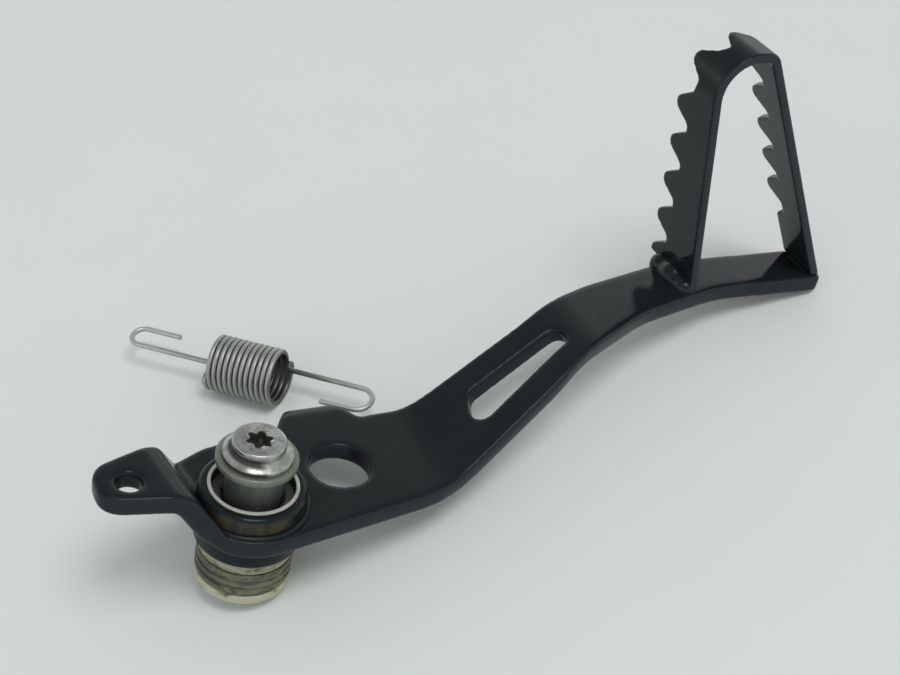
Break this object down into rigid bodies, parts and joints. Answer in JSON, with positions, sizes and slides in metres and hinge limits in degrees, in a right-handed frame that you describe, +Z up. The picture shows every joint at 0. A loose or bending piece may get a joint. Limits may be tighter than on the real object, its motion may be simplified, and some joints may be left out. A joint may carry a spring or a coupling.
{
  "type": "rear brake pedal",
  "caption": "Motorbike rear brake pedal: folded steel lever on a bushed pivot, with a toothed foot step, a pushrod tab and its unhooked return spring.",
  "frame": {"origin": "centre of the pivot's seat face, on the pivot axis", "axes": "the part lies as on a bench, on its seat washer, lever tip and spring: +X along the lever to the foot step, +Z up, +Y towards the spring; the pivot axis leans 12.8 degrees from +Z"},
  "size_m": [0.2503, 0.1169, 0.0987],
  "materials": {
    "black_paint": "semi-gloss",
    "weld_paint": "semi-gloss, lumpy",
    "bush_cream": "satin",
    "seal_rubber": "matt",
    "collar_steel": "turned, dull",
    "bolt_steel": "plated, satin",
    "spacer_grimy": "grimy",
    "washer_cream": "satin",
    "spring_wire": "plated, satin"
  },
  "bodies": {
    "pivot_hardware": {"pivot_bolt": "bolt_steel", "pivot_collar": "collar_steel", "lower_spacer": "spacer_grimy", "seat_washer": "washer_cream", "return_spring": "spring_wire"},
    "pedal": {"lever_plate": "black_paint", "pushrod_tab": "black_paint", "foot_step": "black_paint", "rear_step_weld": "weld_paint", "front_step_weld": "weld_paint", "pivot_boss": "black_paint", "boss_weld": "weld_paint", "upper_bush": "bush_cream", "lower_bush": "bush_cream", "upper_seal": "seal_rubber", "lower_seal": "seal_rubber"}
  },
  "joints": [
    {"name": "pedal_pivot", "type": "hinge", "parent": "pivot_hardware", "child": "pedal", "pos_m": [0, 0, 0], "axis": [-0.2166, -0.0492, -0.975], "range_deg": [0, 15]}
  ]
}
